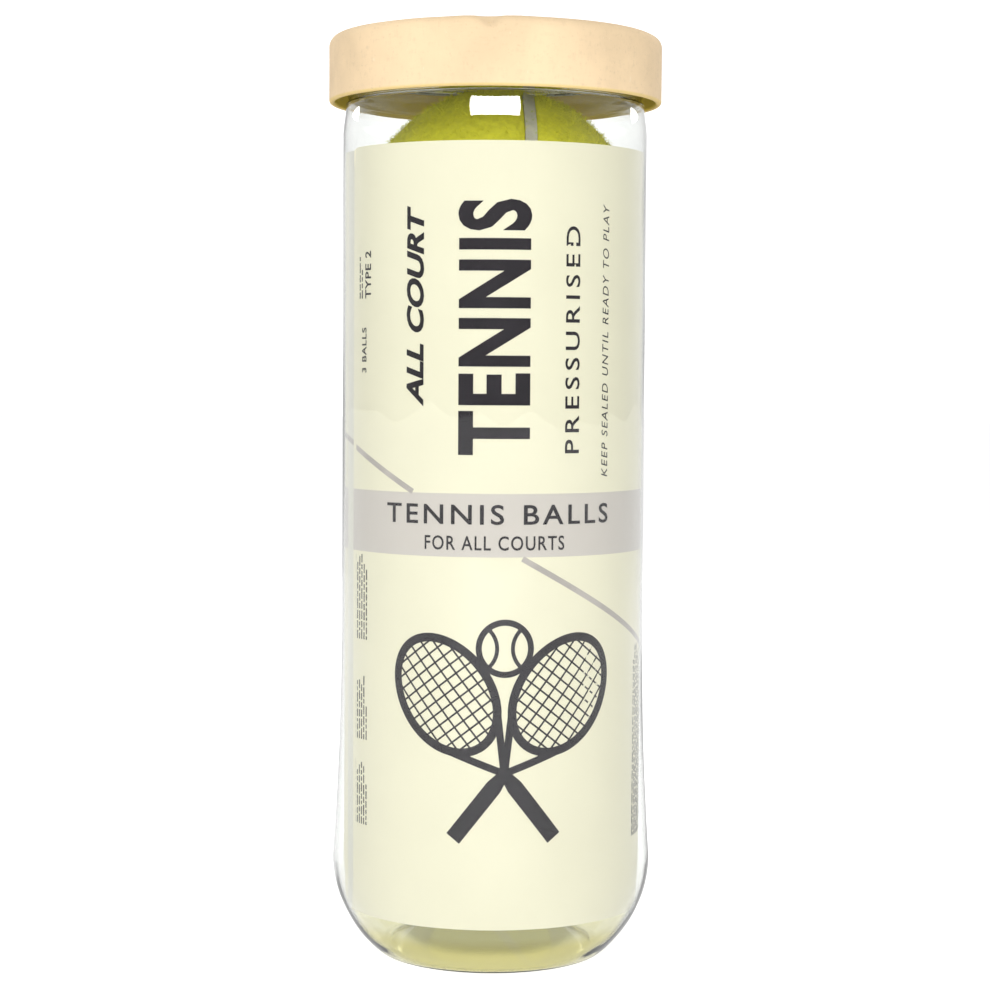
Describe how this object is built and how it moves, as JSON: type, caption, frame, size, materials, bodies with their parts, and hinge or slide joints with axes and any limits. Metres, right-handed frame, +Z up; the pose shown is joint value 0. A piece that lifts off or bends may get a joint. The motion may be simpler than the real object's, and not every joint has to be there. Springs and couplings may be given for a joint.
{
  "type": "tennis ball can",
  "caption": "Clear plastic can of tennis balls with a rolled paper label inside, a ring-pull metal end and a lift-off paper lid.",
  "frame": {"origin": "centre of the base, on the surface that the can stands on", "axes": "+Z up the can's axis; the front of the label faces -Y; +X to the right of the front"},
  "size_m": [0.08, 0.08, 0.2204],
  "materials": {
    "clear_pet": "clear blown PET, glossy",
    "label_paper": "printed cream paper",
    "end_aluminium": "bright sheet aluminium",
    "tab_aluminium": "bright sheet aluminium",
    "sealing_rubber": "soft grey compound",
    "kraft_board": "matte kraft paperboard",
    "felt": "napped yellow-green felt",
    "ball_seam": "pale smooth seam cement",
    "core_rubber": "moulded black rubber"
  },
  "bodies": {
    "can": {"can_body": "clear_pet", "label_sheet": "label_paper", "end_ring": "end_aluminium", "sealing_compound": "sealing_rubber"},
    "lid": {"lid_band": "kraft_board", "lid_disc": "kraft_board"},
    "panel": {"tear_panel": "end_aluminium", "tab_rivet": "end_aluminium"},
    "tab": {"pull_tab": "tab_aluminium"},
    "top_ball": {"top_ball_felt_upper": "felt", "top_ball_felt_lower": "felt", "top_ball_seam": "ball_seam", "top_ball_core_upper": "core_rubber", "top_ball_core_lower": "core_rubber"},
    "middle_ball": {"middle_ball_felt_upper": "felt", "middle_ball_felt_lower": "felt", "middle_ball_seam": "ball_seam", "middle_ball_core_upper": "core_rubber", "middle_ball_core_lower": "core_rubber"},
    "bottom_ball": {"bottom_ball_felt_upper": "felt", "bottom_ball_felt_lower": "felt", "bottom_ball_seam": "ball_seam", "bottom_ball_core_upper": "core_rubber", "bottom_ball_core_lower": "core_rubber"}
  },
  "joints": [
    {"name": "lid_lift", "type": "slide", "parent": "can", "child": "lid", "axis": [0, 0, 1], "range_m": [0, 0.4]},
    {"name": "panel_lift", "type": "slide", "parent": "can", "child": "panel", "axis": [0, 0, 1], "range_m": [0, 0.3]},
    {"name": "tab_hinge", "type": "hinge", "parent": "panel", "child": "tab", "pos_m": [0, -0.03155, 0.21281], "axis": [1, 0, 0], "range_deg": [0, 100]},
    {"name": "top_ball_lift", "type": "slide", "parent": "can", "child": "top_ball", "axis": [0, 0, 1], "range_m": [0, 0.28]},
    {"name": "middle_ball_lift", "type": "slide", "parent": "can", "child": "middle_ball", "axis": [0, 0, 1], "range_m": [0, 0.248]},
    {"name": "bottom_ball_lift", "type": "slide", "parent": "can", "child": "bottom_ball", "axis": [0, 0, 1], "range_m": [0, 0.22]}
  ],
  "couplings": [
    {"joint": "panel_lift", "follows": "lid_lift", "ratio": 0.75},
    {"joint": "tab_hinge", "follows": "lid_lift", "rad_per_m": 4.36},
    {"joint": "top_ball_lift", "follows": "lid_lift", "ratio": 0.7},
    {"joint": "middle_ball_lift", "follows": "lid_lift", "ratio": 0.62},
    {"joint": "bottom_ball_lift", "follows": "lid_lift", "ratio": 0.55}
  ]
}
